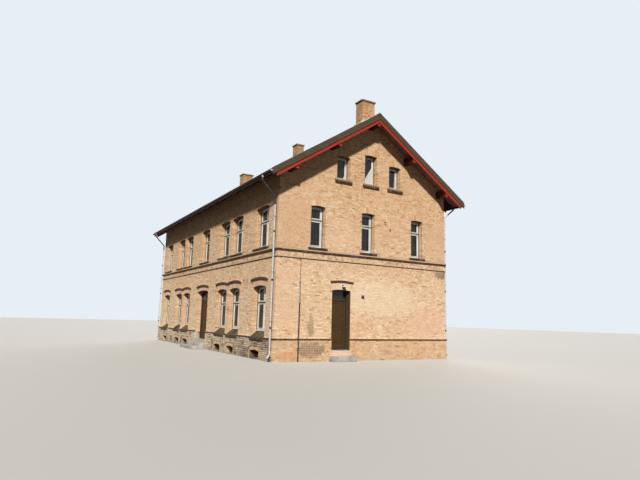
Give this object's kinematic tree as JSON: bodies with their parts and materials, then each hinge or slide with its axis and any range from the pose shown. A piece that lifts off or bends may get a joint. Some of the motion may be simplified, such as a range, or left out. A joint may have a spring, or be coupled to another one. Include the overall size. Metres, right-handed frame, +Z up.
{
  "type": "railway station building",
  "caption": "Hollow two-storey yellow-brick station house with attic, pitched roof, paired arched windows, chimneys on the ridge and hinged doors.",
  "frame": {"origin": "middle of the house on the ground", "axes": "+X along the ridge towards the gable with a door, +Y towards the platform side, +Z up"},
  "size_m": [19.34, 10.324, 11.57],
  "materials": {
    "yellow_brick": "yellow brick in lime mortar",
    "rubble_stone": "rubble stone with mortar patches",
    "dressed_stone": "dressed stone",
    "cap_stone": "weathered cement",
    "white_joinery": "white oil paint",
    "grey_joinery": "dark grey paint",
    "brown_joinery": "dark brown paint",
    "red_timber": "red paint",
    "grey_boards": "weathered grey-brown paint",
    "roof_timber": "dark stained timber",
    "floor_boards": "bare boards",
    "roof_sheets": "dark weathered roofing",
    "roof_metal": "dark sheet metal",
    "zinc": "dull zinc",
    "window_glass": "clear",
    "lamp_white": "white glass and enamel",
    "bell_metal": "dark enamel",
    "conduit_plastic": "grey and black pipe"
  },
  "bodies": {
    "building": {"plinth_front": "rubble_stone", "plinth_back": "rubble_stone", "plinth_gable_left": "yellow_brick", "plinth_gable_right": "yellow_brick", "door_thresholds": "dressed_stone", "door_steps": "dressed_stone", "wall_front_left": "yellow_brick", "wall_front_right": "yellow_brick", "wall_front_upper": "yellow_brick", "wall_back": "yellow_brick", "gable_left": "yellow_brick", "gable_left_attic": "yellow_brick", "gable_right_attic": "yellow_brick", "gable_right_front": "yellow_brick", "gable_right_back": "yellow_brick", "gable_right_upper": "yellow_brick", "plinth_band": "yellow_brick", "string_courses": "yellow_brick", "hood_moulds": "yellow_brick", "window_sills": "yellow_brick", "window_frames_front": "white_joinery", "window_frames_back": "white_joinery", "window_frames_gables": "white_joinery", "window_frames_attic": "white_joinery", "window_panes_front": "window_glass", "window_panes_back": "window_glass", "window_panes_gables": "window_glass", "basement_windows": "grey_joinery", "ground_floor": "floor_boards", "floor_joists": "roof_timber", "first_floor": "floor_boards", "attic_floor": "floor_boards", "front_door_frame": "brown_joinery", "gable_door_frame": "brown_joinery", "back_door": "brown_joinery", "purlins": "red_timber", "rafters_front": "roof_timber", "rafters_back": "roof_timber", "verge_rafters": "red_timber", "verge_boards": "grey_boards", "verge_caps": "roof_metal", "roof_boarding_front": "roof_timber", "roof_boarding_back": "roof_timber", "roof_covering_front": "roof_sheets", "roof_covering_back": "roof_sheets", "ridge_capping": "roof_sheets", "eaves_fascia": "grey_boards", "gutters": "zinc", "downpipes": "zinc", "chimney_stacks": "yellow_brick", "chimney_caps": "cap_stone", "door_lamp": "lamp_white", "wall_bell": "bell_metal", "cable_conduit": "conduit_plastic"},
    "front_door_left": {"front_door_left": "brown_joinery"},
    "front_door_right": {"front_door_right": "brown_joinery"},
    "gable_door": {"gable_door_leaf": "brown_joinery"}
  },
  "joints": [
    {"name": "front_door_left_hinge", "type": "hinge", "parent": "building", "child": "front_door_left", "pos_m": [-0.8295, -4.072, 0.458], "axis": [0, 0, 1], "range_deg": [0, 95]},
    {"name": "front_door_right_hinge", "type": "hinge", "parent": "building", "child": "front_door_right", "pos_m": [0.8295, -4.072, 0.458], "axis": [0, 0, -1], "range_deg": [0, 95]},
    {"name": "gable_door_hinge", "type": "hinge", "parent": "building", "child": "gable_door", "pos_m": [8.622, -0.978, 0.431], "axis": [0, 0, -1], "range_deg": [0, 95]}
  ]
}
